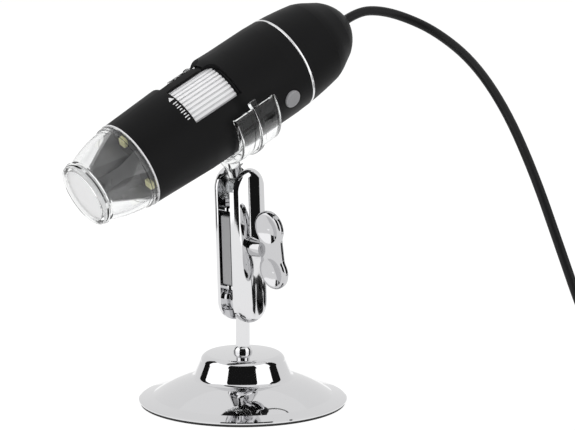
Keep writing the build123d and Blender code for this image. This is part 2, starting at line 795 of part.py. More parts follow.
CAP_START = HOUSING_END + TRIM_W
with BuildPart() as end_cap:
    with BuildSketch(section):
        with BuildLine():
            ThreePointArc((CAP_START, CAP_R), (89.0, 15.62), (CAP_EDGE_T, CAP_EDGE_R))
            ThreePointArc((CAP_EDGE_T, CAP_EDGE_R), (98.1, 13.87), (100.0, 12.95))
            Line((100.0, 12.95), (CAP_END_T, CAP_END_R))
            ThreePointArc((CAP_END_T, CAP_END_R), (107.0, 8.35), (CAP_TIP_T, GROMMET_R))
            Polyline(
                (CAP_TIP_T, GROMMET_R),
                (106.9, GROMMET_R),
                (106.9, 5.6),
                (104.0, CAP_END_R - 1.9),
                (CAP_EDGE_T, CAP_EDGE_R - CAP_WALL),
                (CAP_START, HOUSING_BORE - 1.4),
                (CAP_START - 4.9, HOUSING_BORE - 1.4),
                (CAP_START - 4.9, HOUSING_BORE),
                (CAP_START, HOUSING_BORE),
                (CAP_START, CAP_R),
            )
        make_face()
    revolve(axis=barrel_axis)
finish(end_cap.part, "end_cap")

with BuildPart() as cord_grommet:
    with BuildSketch(section):
        with BuildLine():
            Polyline(
                (105.4, 0),
                (105.4, GROMMET_R + 1.0),
                (106.9, GROMMET_R + 1.0),
                (106.9, GROMMET_R),
                (CAP_TIP_T, GROMMET_R),
                (BARREL_L, GROMMET_R - 0.7),
                (BARREL_L, 0),
                (105.4, 0),
            )
        make_face()
    revolve(axis=barrel_axis)
finish(cord_grommet.part, "cord_grommet")


# Clear holder: a snap ring with rounded lips, a rib that ends in a nub at one lip, a web, neck and spigot

lip_angle = STEM_ROLL + CLIP_OPEN
clip_from, clip_to = CLIP_T - CLIP_W / 2, CLIP_T + CLIP_W / 2
clip_mid_r = (CLIP_IN_R + CLIP_OUT_R) / 2
rib_w, rib_h = CLIP_RIB
web_plane = barrel_side(STEM_ROLL + 180)
with BuildPart() as holder_clip:
    add(ring_piece(clip_from, clip_to, CLIP_IN_R, CLIP_OUT_R, lip_angle, 360 - 2 * CLIP_OPEN, 0.6))
    add(
        ring_piece(
            CLIP_T - rib_w / 2,
            CLIP_T + rib_w / 2,
            clip_mid_r,
            CLIP_OUT_R + rib_h,
            lip_angle - NUB_TURN,
            360 - 2 * CLIP_OPEN + NUB_TURN,
            0.5,
        )
    )
    with BuildSketch(barrel_across(clip_from)):
        for lip in (lip_angle, STEM_ROLL - CLIP_OPEN):
            with Locations(polar(clip_mid_r, lip)):
                Circle((CLIP_OUT_R - CLIP_IN_R) / 2)
    extrude(amount=CLIP_W)
    with BuildSketch(barrel_across(CLIP_T - rib_w / 2 - 0.2)):
        with Locations(polar(CLIP_OUT_R + rib_h - NUB_R, lip_angle - NUB_TURN)):
            Circle(NUB_R)
    extrude(amount=rib_w + 0.4)
    with BuildSketch(web_plane):
        with BuildLine():
            Polyline((49.5, 18.6), (65.5, 18.6), (56.8, 26.0), (52.0, 26.0), close=True)
        make_face()
    extrude(amount=WEB_T / 2, both=True)
    with BuildSketch(Plane(origin=stem_foot - stem_dir * CLIP_OUT_R, z_dir=stem_dir * -1)):
        Circle(NECK_R)
    extrude(amount=STEM_L - CLIP_OUT_R - 3.0)
    with Locations(Location(upper_ball_at)):
        Sphere(BALL_R + SOCKET_GAP, mode=Mode.SUBTRACT)
    with BuildSketch(Plane(origin=stem_foot - stem_dir * (STEM_L - BALL_R - 1), z_dir=stem_dir * -1)):
        Circle(SPIGOT_R)
    extrude(amount=BALL_R + 1 + 1.5)
finish(holder_clip.part, "holder_clip")


# Cord: free stretches of straight runs and wide arcs, the dimmer, a coil of two layers and the plug


def cord_tube(points, name):
    """A free stretch of cord, bent at each point as widely as its two runs allow, written under a name."""
    points = [Vector(*point) for point in points]
    radii = []
    for before, here, after in zip(points, points[1:], points[2:]):
        came, goes = here - before, after - here
        half_turn = math.radians(came.get_angle(goes)) / 2
        radii.append(BEND_SHARE * min(came.length, goes.length) / math.tan(half_turn))
    with BuildPart() as cord:
        with BuildLine() as route:
            FilletPolyline(*points, radius=radii)
        with BuildSketch(Plane(origin=points[0], z_dir=points[1] - points[0])):
            Circle(CORD_R)
        sweep(path=route.wire())
    length = route.wire().length
    share = cord.part.volume / (math.pi * CORD_R**2 * length)
    rounded = [round(radius) for radius in radii]
    print(f"{name}: {length:.1f} mm, volume / section x length {share:.4f}, radii", rounded)
    finish(cord.part, name)
    return length


def turned(place, yaw, along, left, up):
    """A point at a distance along, to the left of and above a place on the floor, seen along a yaw."""
    x, y = polar(along, yaw)
    dx, dy = polar(left, yaw + 90)
    return place[0] + x + dx, place[1] + y + dy, up


cord_z = DIMMER[2] / 2
cord_exit = nose_at + to_rear * BARREL_L
cord_leaves = cord_exit + to_rear * CORD_STRAIGHT
dimmer_end = turned(DIMMER_AT, DIMMER_YAW, DIMMER[0], 0, cord_z)
coil_entry = (COIL_CENTRE[0] + COIL_OUT_R, COIL_CENTRE[1] - 2 * CORD_R, CORD_LIE)
coil_exit = (COIL_CENTRE[0] + COIL_OUT_R, COIL_CENTRE[1] + 2 * CORD_R, CORD_LIE + COIL_RISE)
plug_z = PLUG_BODY[2] / 2
lead_points = [tuple(cord_exit), tuple(cord_leaves), *LEAD_ROUTE, (*DIMMER_AT, cord_z)]
cord_length = cord_tube(lead_points, "cord_lead")
cord_length += cord_tube([dimmer_end, *TAIL_ROUTE, coil_entry], "cord_tail")
cord_length += cord_tube([coil_exit, *END_ROUTE, (*PLUG_AT, plug_z)], "cord_end")


with BuildPart() as cord_coil:
    with BuildLine() as coil_route:
        centre_x, centre_y = COIL_CENTRE
        inner_r = COIL_OUT_R - COIL_PITCH * COIL_TURNS
        top_z = CORD_LIE + COIL_RISE
        Line(coil_entry, (centre_x + COIL_OUT_R, centre_y, CORD_LIE))
        for turn in range(COIL_TURNS):
            outer = COIL_OUT_R - turn * COIL_PITCH
            right = (centre_x + outer, centre_y, CORD_LIE)
            left = (centre_x - outer, centre_y, CORD_LIE)
            TangentArc(right, left, tangent=(0, 1, 0))
            TangentArc(left, (centre_x + outer - COIL_PITCH, centre_y, CORD_LIE), tangent=(0, -1, 0))
        climb_mid = (centre_x, centre_y + math.hypot(inner_r, COIL_RISE / 2), CORD_LIE + COIL_RISE / 2)
        inner_left = (centre_x - inner_r, centre_y, top_z)
        climb = TangentArc((centre_x + inner_r, centre_y, CORD_LIE), climb_mid, tangent=(0, 1, 0))
        TangentArc(climb_mid, inner_left, tangent=climb % 1)
        for turn in range(COIL_TURNS):
            inner = inner_r + turn * COIL_PITCH
            left = (centre_x - inner, centre_y, top_z)
            right = (centre_x + inner + COIL_PITCH, centre_y, top_z)
            TangentArc(left, right, tangent=(0, -1, 0))
            if turn < COIL_TURNS - 1:
                TangentArc(right, (centre_x - inner - COIL_PITCH, centre_y, top_z), tangent=(0, 1, 0))
        Line((centre_x + COIL_OUT_R, centre_y, top_z), coil_exit)
    with BuildSketch(Plane(origin=coil_entry, z_dir=(0, 1, 0))):
        Circle(CORD_R)
    sweep(path=coil_route.wire())
finish(cord_coil.part, "cord_coil")


def least_gap(wire, diameter):
    """The least gap of a round tube to itself, from points of its wire over 12 diameters apart along it."""
    count = int(wire.length / 1.0)
    points = [wire @ (n / count) for n in range(count + 1)]
    skip = int(12 * diameter * count / wire.length)
    pairs = ((a - b).length for n, a in enumerate(points) for b in points[n + skip :])
    return min(pairs) - diameter


coil_wire = coil_route.wire()
coil_share = cord_coil.part.volume / (math.pi * CORD_R**2 * coil_wire.length)
cord_length += coil_wire.length
print(f"cord_coil: {coil_wire.length:.1f} mm, volume / section x length {coil_share:.4f}")
print(f"cord_coil: least gap to itself {least_gap(coil_wire, 2 * CORD_R):.2f} mm")
print(f"cord in all: {cord_length:.1f} mm")

# Dimmer on the cord: two case halves, a board with a post and a thumb wheel that stands out of one side

dimmer_l, dimmer_w, dimmer_h = DIMMER
dimmer_mid = turned(DIMMER_AT, DIMMER_YAW, dimmer_l / 2, 0, 0)
along_dimmer = (*polar(1, DIMMER_YAW), 0)
dimmer_floor = Plane(origin=dimmer_mid, x_dir=along_dimmer, z_dir=(0, 0, 1))


def dimmer_half(start, height, cavity_from, cavity_to, name):
    """One half of the dimmer's case, hollow between two heights, with the thumb wheel's slot in its side."""
    with BuildPart() as half:
        with BuildSketch(dimmer_floor.offset(start)):
            RectangleRounded(dimmer_l, dimmer_w, 3.0)
        extrude(amount=height)
        outer_face = half.faces().sort_by(Axis.Z)[0 if start == 0 else -1]
        fillet(outer_face.edges(), radius=1.0)
        with BuildSketch(dimmer_floor.offset(cavity_from)):
            RectangleRounded(dimmer_l - 2 * DIMMER_WALL, dimmer_w - 2 * DIMMER_WALL, 1.8)
        extrude(amount=cavity_to - cavity_from, mode=Mode.SUBTRACT)
        with BuildSketch(dimmer_floor.offset(cord_z - THUMB_T / 2 - 0.3)):
            with Locations((0, -THUMB_ASIDE)):
                Circle(THUMB_R + 0.4)
        extrude(amount=THUMB_T + 0.6, mode=Mode.SUBTRACT)
    finish(half.part, name)


dimmer_half(0, cord_z, DIMMER_WALL, cord_z, "dimmer_case_bottom")
dimmer_half(cord_z, cord_z, cord_z, dimmer_h - DIMMER_WALL, "dimmer_case_top")

THUMB_POST_R = 1.5
with BuildPart() as dimmer_board:
    with BuildSketch(dimmer_floor.offset(DIMMER_WALL)):
        RectangleRounded(dimmer_l - 2 * DIMMER_WALL - 1.0, dimmer_w - 2 * DIMMER_WALL - 1.0, 1.5)
    extrude(amount=1.0)
    with BuildSketch(dimmer_floor.offset(DIMMER_WALL + 1.0)):
        with Locations((0, -THUMB_ASIDE)):
            Circle(THUMB_POST_R)
    extrude(amount=5.0)
finish(dimmer_board.part, "dimmer_board")

with BuildPart() as dimmer_wheel:
    with BuildSketch(dimmer_floor.offset(cord_z - THUMB_T / 2)):
        with Locations((0, -THUMB_ASIDE)):
            Circle(THUMB_R - 0.35)
            with PolarLocations(THUMB_R - 0.35, 36):
                Rectangle(0.7, 0.7)
            Circle(THUMB_POST_R + FIT, mode=Mode.SUBTRACT)
    extrude(amount=THUMB_T)
finish(dimmer_wheel.part, "dimmer_wheel")

# Plug: moulded grip, metal shell, insert and four contacts

grip_l, grip_w, grip_h = PLUG_BODY
shell_l, shell_w, shell_h = PLUG_SHELL
along_plug = Vector(*polar(1, PLUG_YAW), 0)
plug_face = Plane(origin=(*PLUG_AT, plug_z), x_dir=(0, 0, 1), z_dir=along_plug)
with BuildPart() as plug_body:
    with BuildSketch(plug_face):
        RectangleRounded(grip_h, grip_w, 1.2)
    extrude(amount=grip_l)
    fillet(plug_body.faces().filter_by(Axis(PLUG_AT + (plug_z,), along_plug)).edges(), radius=0.8)
finish(plug_body.part, "plug_body")

with BuildPart() as plug_shell:
    with BuildSketch(plug_face.offset(grip_l)):
        RectangleRounded(shell_h, shell_w, 0.5)
        RectangleRounded(shell_h - 2 * PLUG_METAL, shell_w - 2 * PLUG_METAL, 0.3, mode=Mode.SUBTRACT)
    extrude(amount=shell_l)
    with BuildSketch(Plane(origin=(*PLUG_AT, plug_z), x_dir=along_plug, z_dir=(0, 0, 1))):
        with GridLocations(0, 5.0, 1, 2):
            with Locations((grip_l + shell_l - 5.2, 0)):
                Rectangle(2.3, 2.3)
    extrude(amount=shell_h, both=True, mode=Mode.SUBTRACT)
finish(plug_shell.part, "plug_shell")

INSERT_T = 1.9
with BuildPart() as plug_insert:
    with BuildSketch(plug_face.offset(grip_l)):
        with Locations((shell_h / 2 - PLUG_METAL - INSERT_T / 2, 0)):
            RectangleRounded(INSERT_T, shell_w - 2 * PLUG_METAL, 0.3)
    extrude(amount=shell_l - 0.6)
finish(plug_insert.part, "plug_insert")

with BuildPart() as plug_contacts:
    with BuildSketch(plug_face.offset(grip_l)):
        with Locations((shell_h / 2 - PLUG_METAL - INSERT_T - 0.1, 0)):
            with GridLocations(0, 2.3, 1, 4):
                Rectangle(0.2, 1.0)
    extrude(amount=shell_l - 2.4)
finish(plug_contacts.part, "plug_contacts")
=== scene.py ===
"""A small digital microscope in a clear clip on a chrome table stand, dressed for a studio picture.

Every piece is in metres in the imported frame. The construction comes from the frame; this script adds
the finishes, the cord at its real length, the printed focus marks and the studio.
"""

import json
import math

import bmesh
import bpy
from mathutils import Matrix, Vector


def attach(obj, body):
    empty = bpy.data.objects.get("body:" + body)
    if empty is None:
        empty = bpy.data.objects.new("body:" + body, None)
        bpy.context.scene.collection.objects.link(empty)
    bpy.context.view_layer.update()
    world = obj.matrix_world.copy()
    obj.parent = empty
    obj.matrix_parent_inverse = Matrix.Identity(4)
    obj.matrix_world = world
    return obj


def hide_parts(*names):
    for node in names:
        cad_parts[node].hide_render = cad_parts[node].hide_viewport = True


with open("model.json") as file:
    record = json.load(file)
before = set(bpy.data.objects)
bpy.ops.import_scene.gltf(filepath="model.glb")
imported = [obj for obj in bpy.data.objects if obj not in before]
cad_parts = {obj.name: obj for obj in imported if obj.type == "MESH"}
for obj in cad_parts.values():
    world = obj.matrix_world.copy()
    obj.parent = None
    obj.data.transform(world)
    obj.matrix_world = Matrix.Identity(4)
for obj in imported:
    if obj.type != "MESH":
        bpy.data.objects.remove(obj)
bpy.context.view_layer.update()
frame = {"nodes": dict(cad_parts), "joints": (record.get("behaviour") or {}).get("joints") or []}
nodes = frame["nodes"]
joints = {joint["name"]: joint for joint in frame["joints"]}
MM = 0.001

# The barrel's place and direction, read from the frame's joints

nose_at = Vector(joints["scope_roll"]["pos_m"])
to_rear = Vector(joints["scope_roll"]["axis"]).normalized()
over = Vector((-to_rear.z, 0, to_rear.x))
aside = Vector((0, -1, 0))


def round_barrel(angle):
    """The direction out of the barrel's axis at an angle, in degrees, from straight over towards -Y."""
    a = math.radians(angle)
    return over * math.cos(a) + aside * math.sin(a)


def on_barrel(t, radius, angle):
    """A point t behind the nose's face, at a radius and an angle round the barrel, from millimetres."""
    return nose_at + to_rear * (t * MM) + round_barrel(angle) * (radius * MM)


# Camera: the photograph's view, 575 by 431 pixels

FOCAL_PX = 2640.0
PHOTO_WIDTH_PX = 575
SENSOR_WIDTH = 36.0
CAMERA_AT = Vector((-0.4735, -0.7350, 0.2232))
CAMERA_BACK = Vector((-0.5471, -0.8177, 0.1789))


def make_camera():
    """Sets up the scene's camera with the photograph's place, direction and focal length."""
    data = bpy.data.cameras.new("camera")
    data.sensor_width = SENSOR_WIDTH
    data.lens = FOCAL_PX / PHOTO_WIDTH_PX * SENSOR_WIDTH
    data.clip_start = 0.05
    data.clip_end = 20.0
    camera = bpy.data.objects.new("camera", data)
    bpy.context.scene.collection.objects.link(camera)
    back = CAMERA_BACK.normalized()
    right = Vector((0, 0, 1)).cross(back).normalized()
    up = back.cross(right)
    camera.matrix_world = Matrix.Translation(CAMERA_AT) @ Matrix((right, up, back)).transposed().to_4x4()
    bpy.context.scene.camera = camera


# Materials


def new_material(name):
    """A new material that uses nodes, and its Principled shader."""
    material = bpy.data.materials.new(name)
    material.use_nodes = True
    return material, material.node_tree.nodes["Principled BSDF"]


def link(material, from_socket, to_socket):
    """Joins two sockets of a material's nodes."""
    material.node_tree.links.new(from_socket, to_socket)


def add_node(material, kind, **values):
    """Adds a node and sets its inputs by name, with spaces written as underscores."""
    node = material.node_tree.nodes.new(kind)
    for key, value in values.items():
        node.inputs[key.replace("_", " ")].default_value = value
    return node


def coordinates(material):
    """The object's own coordinates, which move with the piece."""
    return add_node(material, "ShaderNodeTexCoord").outputs["Object"]


def noise(material, scale, detail=3.0, roughness=0.5):
    """A noise texture in the object's coordinates."""
    texture = add_node(material, "ShaderNodeTexNoise", Scale=scale, Detail=detail, Roughness=roughness)
    link(material, coordinates(material), texture.inputs["Vector"])
    return texture.outputs["Fac"]


NOISE_MIDDLE = (0.35, 0.65)


def spread(material, source, low, high):
    """Maps a noise's middle range onto low to high."""
    ranged = add_node(material, "ShaderNodeMapRange")
    ranged.inputs["From Min"].default_value = NOISE_MIDDLE[0]
    ranged.inputs["From Max"].default_value = NOISE_MIDDLE[1]
    ranged.inputs["To Min"].default_value = low
    ranged.inputs["To Max"].default_value = high
    link(material, source, ranged.inputs["Value"])
    return ranged.outputs["Result"]


def bump(material, shader, source, strength, distance):
    """Bumps a shader's surface by a height, with its depth in metres."""
    node = add_node(material, "ShaderNodeBump", Strength=strength, Distance=distance)
    link(material, source, node.inputs["Height"])
    link(material, node.outputs["Normal"], shader.inputs["Normal"])
    return node


def set_inputs(shader, **values):
    """Sets a shader's inputs by name, with spaces written as underscores."""
    for key, value in values.items():
        shader.inputs[key.replace("_", " ")].default_value = value


def tint(material, shader, first, second, source):
    """Varies a shader's colour between two colours."""
    mix = material.node_tree.nodes.new("ShaderNodeMix")
    mix.data_type = "RGBA"
    mix.inputs["A"].default_value = (*first, 1)
    mix.inputs["B"].default_value = (*second, 1)
    link(material, source, mix.inputs["Factor"])
    link(material, mix.outputs["Result"], shader.inputs["Base Color"])


def chrome(name, shade, roughness, wave_scale, wave):
    """Bright plate, a little wavy as plated metal is, with faint wipe marks in its gloss."""
    material, shader = new_material(name)
    set_inputs(shader, Base_Color=(shade, shade, shade + 0.01, 1), Metallic=1.0)
    wipes = spread(material, noise(material, 260.0), roughness, roughness + 0.04)
    link(material, wipes, shader.inputs["Roughness"])
    bump(material, shader, noise(material, wave_scale, 2.0), wave, 0.0004)
    return material


def plain_steel():
    """Turned steel with fine scratches."""
    material, shader = new_material("turned_steel")
    set_inputs(shader, Metallic=1.0)
    grain = noise(material, 900.0, 6.0)
    tint(material, shader, (0.42, 0.42, 0.43), (0.60, 0.60, 0.61), grain)
    link(material, spread(material, grain, 0.22, 0.38), shader.inputs["Roughness"])
    bump(material, shader, grain, 0.1, 0.0001)
    return material


def moulded(name, color, roughness, grain_scale=1500.0, depth=0.00004, mottle=0.12):
    """Moulded plastic or rubber: a fine grain in the surface, and slight changes in colour and gloss."""
    material, shader = new_material(name)
    wide = noise(material, 60.0, 3.0)
    darker = [c * (1 - mottle) for c in color]
    lighter = [min(1, c * (1 + mottle)) for c in color]
    tint(material, shader, darker, lighter, wide)
    link(material, spread(material, wide, roughness - 0.05, roughness + 0.05), shader.inputs["Roughness"])
    bump(material, shader, noise(material, grain_scale, 4.0), 0.35, depth)
    return material, shader


def clear_plastic(name, color, roughness=0.03, bend=1.49):
    """Clear moulded plastic with faint flow waves, with how much it bends light."""
    material, shader = new_material(name)
    set_inputs(shader, Base_Color=(*color, 1), Transmission_Weight=1.0, IOR=bend)
    gloss = spread(material, noise(material, 90.0), roughness, roughness + 0.04)
    link(material, gloss, shader.inputs["Roughness"])
    bump(material, shader, noise(material, 120.0, 2.0), 0.06, 0.0003)
    return material


def by_radius(material, shader, inner, outer, inner_radius, outer_radius):
    """Colours a piece round the barrel's axis by its distance from that axis."""
    away = add_node(material, "ShaderNodeVectorMath")
    away.operation = "SUBTRACT"
    away.inputs[1].default_value = nose_at
    link(material, coordinates(material), away.inputs[0])
    across = add_node(material, "ShaderNodeVectorMath")
    across.operation = "CROSS_PRODUCT"
    across.inputs[1].default_value = to_rear
    link(material, away.outputs["Vector"], across.inputs[0])
    length = add_node(material, "ShaderNodeVectorMath")
    length.operation = "LENGTH"
    link(material, across.outputs["Vector"], length.inputs[0])
    ranged = add_node(material, "ShaderNodeMapRange")
    ranged.inputs["From Min"].default_value = inner_radius
    ranged.inputs["From Max"].default_value = outer_radius
    link(material, length.outputs["Value"], ranged.inputs["Value"])
    tint(material, shader, inner, outer, ranged.outputs["Result"])


# The focus wheel's colour by radius: painted shade, darker down in the grooves, and the white plastic on
# the ribs
GROOVE_PAINTED_SHADE = (0.72, 0.72, 0.73)
RIB_SHADE = (0.95, 0.95, 0.96)
WHEEL_GROOVE_R = 0.01442
WHEEL_RIB_R = 0.01474


def make_materials():
    """All finishes by name."""
    kinds = {"steel": plain_steel()}
    kinds["chrome"] = chrome("chrome_plate", 0.70, 0.02, 55.0, 0.04)
    kinds["cast_chrome"] = chrome("cast_chrome", 0.55, 0.05, 170.0, 0.35)
    kinds["soft_black"], coat = moulded("soft_black_coat", (0.008, 0.008, 0.0084), 0.5, 2600.0, 0.00003)
    set_inputs(coat, Specular_IOR_Level=0.09)
    kinds["dark_grey"], _ = moulded("dark_grey_plastic", (0.045, 0.045, 0.048), 0.45)
    kinds["hood_grey"], hood = moulded("hood_grey", (0.15, 0.15, 0.152), 0.28, 110.0, 0.0009, 0.3)
    set_inputs(hood, Specular_IOR_Level=0.6)
    kinds["dark_rubber"], _ = moulded("dark_rubber", (0.03, 0.03, 0.03), 0.8, 900.0, 0.00008)
    kinds["cord_black"], jacket = moulded("cord_jacket", (0.009, 0.009, 0.0095), 0.45, 1800.0, 0.00004)
    set_inputs(jacket, Specular_IOR_Level=0.2)
    kinds["white_plastic"], _ = moulded("white_plastic", (0.82, 0.82, 0.83), 0.32, 1500.0, 0.00002, 0.02)
    kinds["button_grey"], _ = moulded("button_grey", (0.33, 0.33, 0.34), 0.38, 1800.0, 0.00002, 0.05)
    kinds["board_green"], _ = moulded("circuit_board", (0.02, 0.13, 0.06), 0.35, 700.0, 0.00005)
    kinds["contact_gold"], gold = moulded("contact_gold", (0.75, 0.52, 0.20), 0.25, 1200.0, 0.00001)
    set_inputs(gold, Metallic=1.0)
    kinds["silver_trim"], silver = moulded("silver_trim", (0.80, 0.80, 0.81), 0.16, 1500.0, 0.00001, 0.02)
    set_inputs(silver, Metallic=1.0)
    kinds["spacer_grey"], spacer = moulded("spacer_grey", (0.32, 0.32, 0.325), 0.45, 1500.0, 0.00001, 0.04)
    set_inputs(spacer, Metallic=1.0)
    kinds["wheel_white"], wheel = moulded("wheel_white", (0.8, 0.8, 0.8), 0.35, 1500.0, 0.00002, 0.02)
    # Painted shade: the wheel's grooves are coloured darker than its ribs
    by_radius(kinds["wheel_white"], wheel, GROOVE_PAINTED_SHADE, RIB_SHADE, WHEEL_GROOVE_R, WHEEL_RIB_R)
    kinds["clear_acrylic"] = clear_plastic("clear_acrylic", (0.98, 0.985, 0.985), 0.02, 1.42)
    kinds["clip_clear"] = clear_plastic("clip_clear", (0.97, 0.98, 0.98), 0.02, 1.42)
    kinds["clip_soft"] = clear_plastic("clip_soft", (0.97, 0.98, 0.98), 0.2, 1.42)
    for kind in ("clip_clear", "clip_soft"):
        set_inputs(kinds[kind].node_tree.nodes["Principled BSDF"], Specular_Tint=(0.3, 0.3, 0.3, 1))
    kinds["lens_glass"] = clear_plastic("lens_glass", (0.92, 0.96, 1.0), 0.01)
    # The real front window is clear glass; here its near-white colour is a painted reflection of the white
    # floor, and its strong coat adds a real reflection on top
    kinds["painted_reflection_window"], painted_reflection_window = moulded("window_painted_reflection", (0.97, 0.97, 0.975), 0.4, 1500.0, 0.00002, 0.01)
    set_inputs(painted_reflection_window, Coat_Weight=1.0, Coat_IOR=2.4, Coat_Roughness=0.2)
    kinds["sensor_black"], sensor = moulded("sensor_glass", (0.02, 0.025, 0.04), 0.1, 400.0, 0.00001)
    kinds["lamp_phosphor"], _ = moulded("lamp_phosphor", (0.95, 0.92, 0.52), 0.4, 1500.0, 0.00002, 0.02)
    return kinds


NODE_FINISH = {
    "base_shell": "chrome",
    "base_weight": "steel",
    "base_pad": "dark_rubber",
    "stem_rod": "chrome",
    "stem_collar": "chrome",
    "stem_screw": "steel",
    "lower_ball": "chrome",
    "clip_ball": "clip_soft",
    "arm_shell_near": "chrome",
    "arm_shell_far": "chrome",
    "arm_nut": "steel",
    "arm_spacer": "spacer_grey",
    "wing_knob": "cast_chrome",
    "wing_stud": "steel",
    "holder_clip": "clip_clear",
    "nose_cone": "clear_acrylic",
    # the front window's near-white colour is a painted reflection
    "front_window": "painted_reflection_window",
    "front_ring": "white_plastic",
    "led_hood": "hood_grey",
    "led_board": "dark_grey",
    "leds": "lamp_phosphor",
    "main_housing": "soft_black",
    "focus_wheel": "wheel_white",
    "lens_guide": "dark_grey",
    "lens_barrel": "dark_grey",
    "lens_front": "lens_glass",
    "lens_rear": "lens_glass",
    "wheel_retainer": "dark_grey",
    "sensor_board": "board_green",
    "sensor_screws": "steel",
    "image_sensor": "sensor_black",
    "main_board": "board_green",
    "snap_switch": "dark_grey",
    "snap_button": "button_grey",
    "trim_ring": "silver_trim",
    "end_cap": "soft_black",
    "cord_grommet": "cord_black",
    "dimmer_case_top": "soft_black",
    "dimmer_case_bottom": "soft_black",
    "dimmer_board": "board_green",
    "dimmer_wheel": "dark_grey",
    "plug_body": "cord_black",
    "plug_shell": "steel",
    "plug_insert": "white_plastic",
    "plug_contacts": "contact_gold",
}


def dress_nodes(kinds):
    """Gives every CAD node that stays its finish."""
    for name, finish in NODE_FINISH.items():
        mesh = nodes[name].data
        mesh.materials.clear()
        mesh.materials.append(kinds[finish])


# Focus marks: a plain arrow and ticks printed round the band in front of the focus window

BAND_T = 36.6
BAND_R = 15.7
MARK_LIFT = 0.03
MARK_T = 0.05
TICK_HALF_WIDE = 0.17
TICK_HALF_LONG = (0.8, 0.5)
TICK_ANGLES = [35 + 3.7 * n for n in range(8)]
ARROW_ANGLE = 27.0
ARROW_TIP = 1.0
ARROW_FOOT = 0.7
ARROW_HALF_WIDE = 1.0


def printed(name, shapes, radius_at, material):
    """A thin print that lies on the barrel. Each shape is a list of t and arc places in millimetres."""
    mesh = bmesh.new()
    for shape in shapes:
        low, high = [], []
        for t, arc in shape:
            angle = math.degrees(arc / radius_at(t))
            low.append(mesh.verts.new(on_barrel(t, radius_at(t) + MARK_LIFT, angle)))
            high.append(mesh.verts.new(on_barrel(t, radius_at(t) + MARK_LIFT + MARK_T, angle)))
        mesh.faces.new(high)
        mesh.faces.new(low[::-1])
        for n in range(len(shape)):
            after = (n + 1) % len(shape)
            mesh.faces.new((low[n], low[after], high[after], high[n]))
    bmesh.ops.recalc_face_normals(mesh, faces=mesh.faces)
    data = bpy.data.meshes.new(name)
    mesh.to_mesh(data)
    mesh.free()
    data.materials.append(material)
    piece = bpy.data.objects.new(name, data)
    bpy.context.scene.collection.objects.link(piece)
    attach(piece, "scope")
    return piece


BAND_FROM = 17.3
BAND_FROM_R = 14.85
BAND_TO = 41.0
BAND_TO_R = 16.0


def housing_radius(t):
    """The housing's outer radius in front of the focus window, in millimetres."""
    share = (t - BAND_FROM) / (BAND_TO - BAND_FROM)
    return BAND_FROM_R + (BAND_TO_R - BAND_FROM_R) * share


def make_marks(kinds):
    """The arrow and the ticks of the focus band."""
    shapes = []
    for n, angle in enumerate(TICK_ANGLES):
        middle = math.radians(angle) * BAND_R
        front, back = BAND_T - TICK_HALF_LONG[n % 2], BAND_T + TICK_HALF_LONG[n % 2]
        upper, lower = middle - TICK_HALF_WIDE, middle + TICK_HALF_WIDE
        shapes.append([(front, upper), (back, upper), (back, lower), (front, lower)])
    middle = math.radians(ARROW_ANGLE) * BAND_R
    tip, foot = middle - ARROW_TIP, middle + ARROW_FOOT
    shapes.append([(BAND_T, tip), (BAND_T - ARROW_HALF_WIDE, foot), (BAND_T + ARROW_HALF_WIDE, foot)])
    marks = printed("focus_marks", shapes, housing_radius, kinds["white_plastic"])


# Cord: the route's points as in the construction, in millimetres

CORD_R = 1.6
CORD_LIE = 1.65
BARREL_L = 111.0
CORD_STRAIGHT = 6.2
LEAD_ROUTE = [
    (48.5, -10.2, 131.6),
    (57.5, -12.0, 129.2),
    (66.1, -19.0, 124.3),
    (70.0, -34.8, 115.5),
    (69.4, -53.6, 101.5),
    (68.7, -70.0, 82.0),
    (70.6, -80.9, 60.0),
    (75.4, -87.3, 38.5),
    (80.9, -91.2, 23.0),
    (87.3, -94.1, 11.5),
    (95.6, -97.7, 5.6),
]
DIMMER_AT = (105.2, -101.8, 4.8)
DIMMER_YAW = -23.3
DIMMER_L = 30.0
TAIL_ROUTE = [
    (141.0, -117.2, 4.8),
    (152.0, -117.2, 4.2),
    (162.2, -113.0, 3.0),
    (169.9, -105.2, 2.1),
    (174.1, -95.0, 1.65),
]
COIL_CENTRE = (149.1, -80.8)
COIL_OUT_R = 25.0
COIL_PITCH = 3.7
COIL_TURNS = 4
COIL_RISE = 3.7
HALF_TURN_POINTS = 10
END_ROUTE = [(174.1, -69.6, 5.35), (172.5, -60.8, 4.1)]
PLUG_AT = (168.9, -52.0, 4.1)


def half_turn(centre_x, radius, start, low, high):
    """Control points of half a turn to the left, from a start angle, that may rise as it goes."""
    out = radius / math.cos(math.pi / HALF_TURN_POINTS / 2)
    points = []
    for n in range(HALF_TURN_POINTS):
        share = (n + 0.5) / HALF_TURN_POINTS
        a = math.radians(start + share * 180)
        height = low + (high - low) * share * share * (3 - 2 * share)
        points.append((centre_x + out * math.cos(a), COIL_CENTRE[1] + out * math.sin(a), height))
    return points


def coil_points():
    """The coil's turns: in on the floor, up in the half turn where it reverses, and out on top."""
    x, pitch, top = COIL_CENTRE[0], COIL_PITCH, CORD_LIE + COIL_RISE
    points = []
    for turn in range(COIL_TURNS):
        radius = COIL_OUT_R - turn * pitch
        points += half_turn(x, radius, 0, CORD_LIE, CORD_LIE)
        points += half_turn(x - pitch / 2, radius - pitch / 2, 180, CORD_LIE, CORD_LIE)
    inner = COIL_OUT_R - COIL_TURNS * pitch
    points += half_turn(x, inner, 0, CORD_LIE, top)
    for turn in range(COIL_TURNS):
        points += half_turn(x + pitch / 2, inner + (turn + 0.5) * pitch, 180, top, top)
        if turn < COIL_TURNS - 1:
            points += half_turn(x, inner + (turn + 1) * pitch, 0, top, top)
    return points


